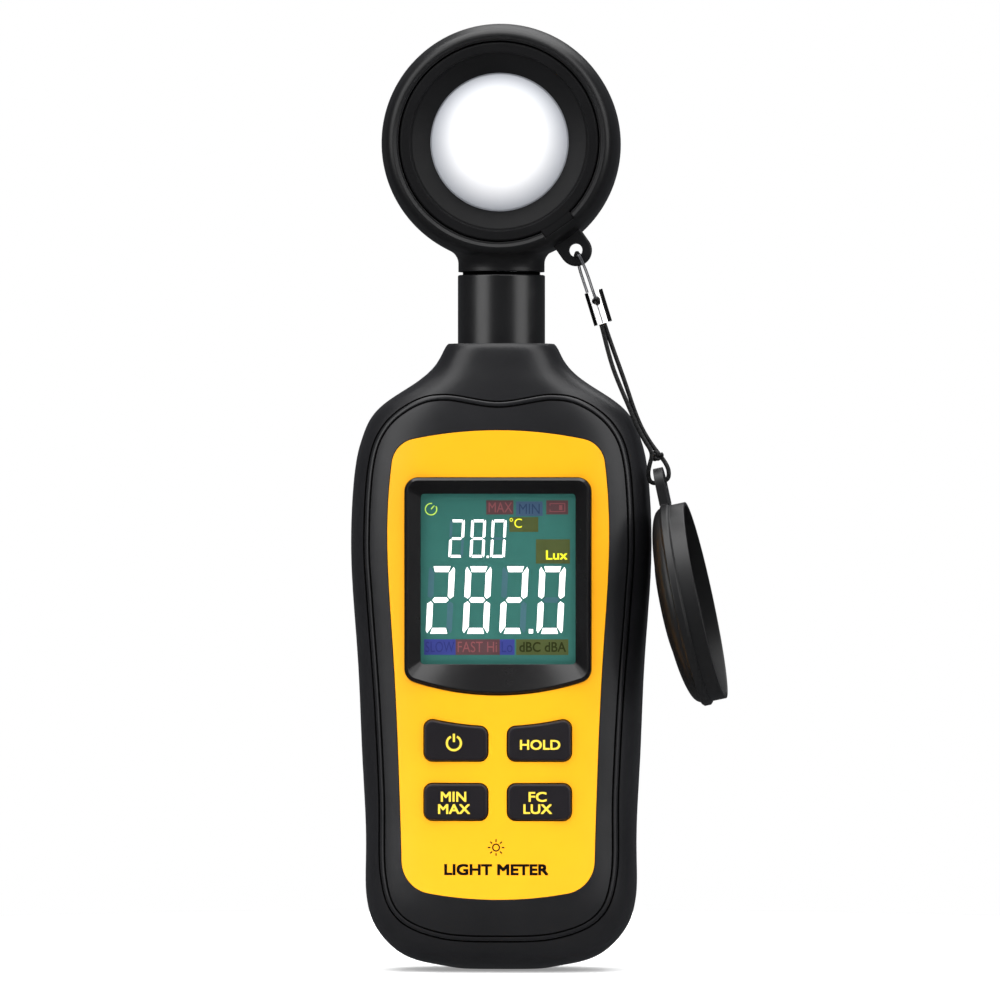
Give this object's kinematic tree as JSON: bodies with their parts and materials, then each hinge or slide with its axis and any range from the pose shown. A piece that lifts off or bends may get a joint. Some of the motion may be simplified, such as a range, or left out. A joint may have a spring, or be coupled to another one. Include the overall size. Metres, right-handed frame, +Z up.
{
  "type": "light meter",
  "caption": "Hand-held digital light meter with a swivelling round sensor head, a lit display, press keys, a battery door and a tethered sensor cap.",
  "frame": {"origin": "the lower end of the body, on the sensor head's swivel axis", "axes": "+Z up along the body to the sensor head, display facing -Y, +X to the viewer's right"},
  "size_m": [0.0642, 0.0356, 0.1607],
  "materials": {
    "black_case": "satin black moulded ABS, lightly textured",
    "yellow_panel": "satin yellow moulded ABS",
    "gloss_black": "glossy black bezel",
    "clear_window": "clear hard-coated display window",
    "lcd": "teal negative display with lit white figures",
    "backlight": "white light guide",
    "key_rubber": "matt dark key tops with yellow print",
    "membrane": "grey silicone key mat",
    "circuit_board": "green solder-masked board",
    "chip_black": "black moulded component",
    "steel": "plated steel",
    "chrome": "bright chrome ferrule",
    "copper_contact": "plated spring contact",
    "battery_wrap": "printed cell wrap with steel ends",
    "neck_black": "smooth satin black neck",
    "diffuser_white": "opal white diffuser",
    "filter_glass": "green colour-correcting glass",
    "sensor_chip": "photodiode in a black package",
    "silver_thread": "silvery braided thread",
    "black_cord": "braided black polyester cord",
    "white_nylon": "natural nylon"
  },
  "bodies": {
    "meter_body": {"front_case": "black_case", "rear_case": "black_case", "face_panel": "yellow_panel", "display_bezel": "gloss_black", "display_window": "clear_window", "lcd_panel": "lcd", "lcd_backlight": "backlight", "contact_strips": "membrane", "keypad_membrane": "membrane", "main_board": "circuit_board", "board_screws": "steel", "controller_chip": "chip_black", "board_components": "chip_black", "buzzer": "chip_black", "temperature_sensor": "chip_black", "sensor_connector": "white_nylon", "sensor_lead": "chip_black", "battery_cells": "battery_wrap", "battery_tray": "black_case", "battery_contacts": "copper_contact", "battery_springs": "steel", "battery_leads": "copper_contact", "case_screws": "steel", "neck_tube": "neck_black", "thrust_washer": "white_nylon", "swivel_stop_pin": "steel"},
    "sensor_head": {"swivel_spindle": "steel", "retaining_clip": "steel", "spring_washer": "steel", "head_front_shell": "neck_black", "head_rear_shell": "neck_black", "head_screws": "steel", "sensor_collar": "neck_black", "diffuser_dome": "diffuser_white", "light_filter": "filter_glass", "sensor_board": "circuit_board", "sensor_board_screws": "steel", "photodiode": "sensor_chip", "lead_socket": "white_nylon"},
    "lanyard": {"lanyard_thread": "silver_thread", "lanyard_ferrule": "chrome", "lanyard_cord": "black_cord"},
    "sensor_cap": {"cap_shell": "black_case"},
    "door": {"battery_door": "black_case"},
    "power_key": {"power_button": "key_rubber"},
    "hold_key": {"hold_button": "key_rubber"},
    "min_max_key": {"min_max_button": "key_rubber"},
    "unit_key": {"unit_button": "key_rubber"}
  },
  "joints": [
    {"name": "head_swivel", "type": "hinge", "parent": "meter_body", "child": "sensor_head", "pos_m": [0, 0, 0.1183], "axis": [0, 0, 1], "range_deg": [-90, 180]},
    {"name": "lanyard_swing", "type": "hinge", "parent": "sensor_head", "child": "lanyard", "pos_m": [0.0129, -0.005, 0.12214], "axis": [0, -1, 0], "range_deg": [0, 95]},
    {"name": "cap_swing", "type": "hinge", "parent": "lanyard", "child": "sensor_cap", "pos_m": [0.02735, -0.005, 0.08254], "axis": [0.9768, -0.0523, 0.2076], "range_deg": [-70, 50]},
    {"name": "battery_door_tilt", "type": "hinge", "parent": "meter_body", "child": "door", "pos_m": [0, 0.0131, 0.0129], "axis": [-1, 0, 0], "range_deg": [0, 75]},
    {"name": "power_press", "type": "slide", "parent": "meter_body", "child": "power_key", "axis": [0, 1, 0], "range_m": [0, 0.0008], "stiffness_N_per_m": 300, "springref_m": -0.0015},
    {"name": "hold_press", "type": "slide", "parent": "meter_body", "child": "hold_key", "axis": [0, 1, 0], "range_m": [0, 0.0008], "stiffness_N_per_m": 300, "springref_m": -0.0015},
    {"name": "min_max_press", "type": "slide", "parent": "meter_body", "child": "min_max_key", "axis": [0, 1, 0], "range_m": [0, 0.0008], "stiffness_N_per_m": 300, "springref_m": -0.0015},
    {"name": "unit_press", "type": "slide", "parent": "meter_body", "child": "unit_key", "axis": [0, 1, 0], "range_m": [0, 0.0008], "stiffness_N_per_m": 300, "springref_m": -0.0015}
  ]
}
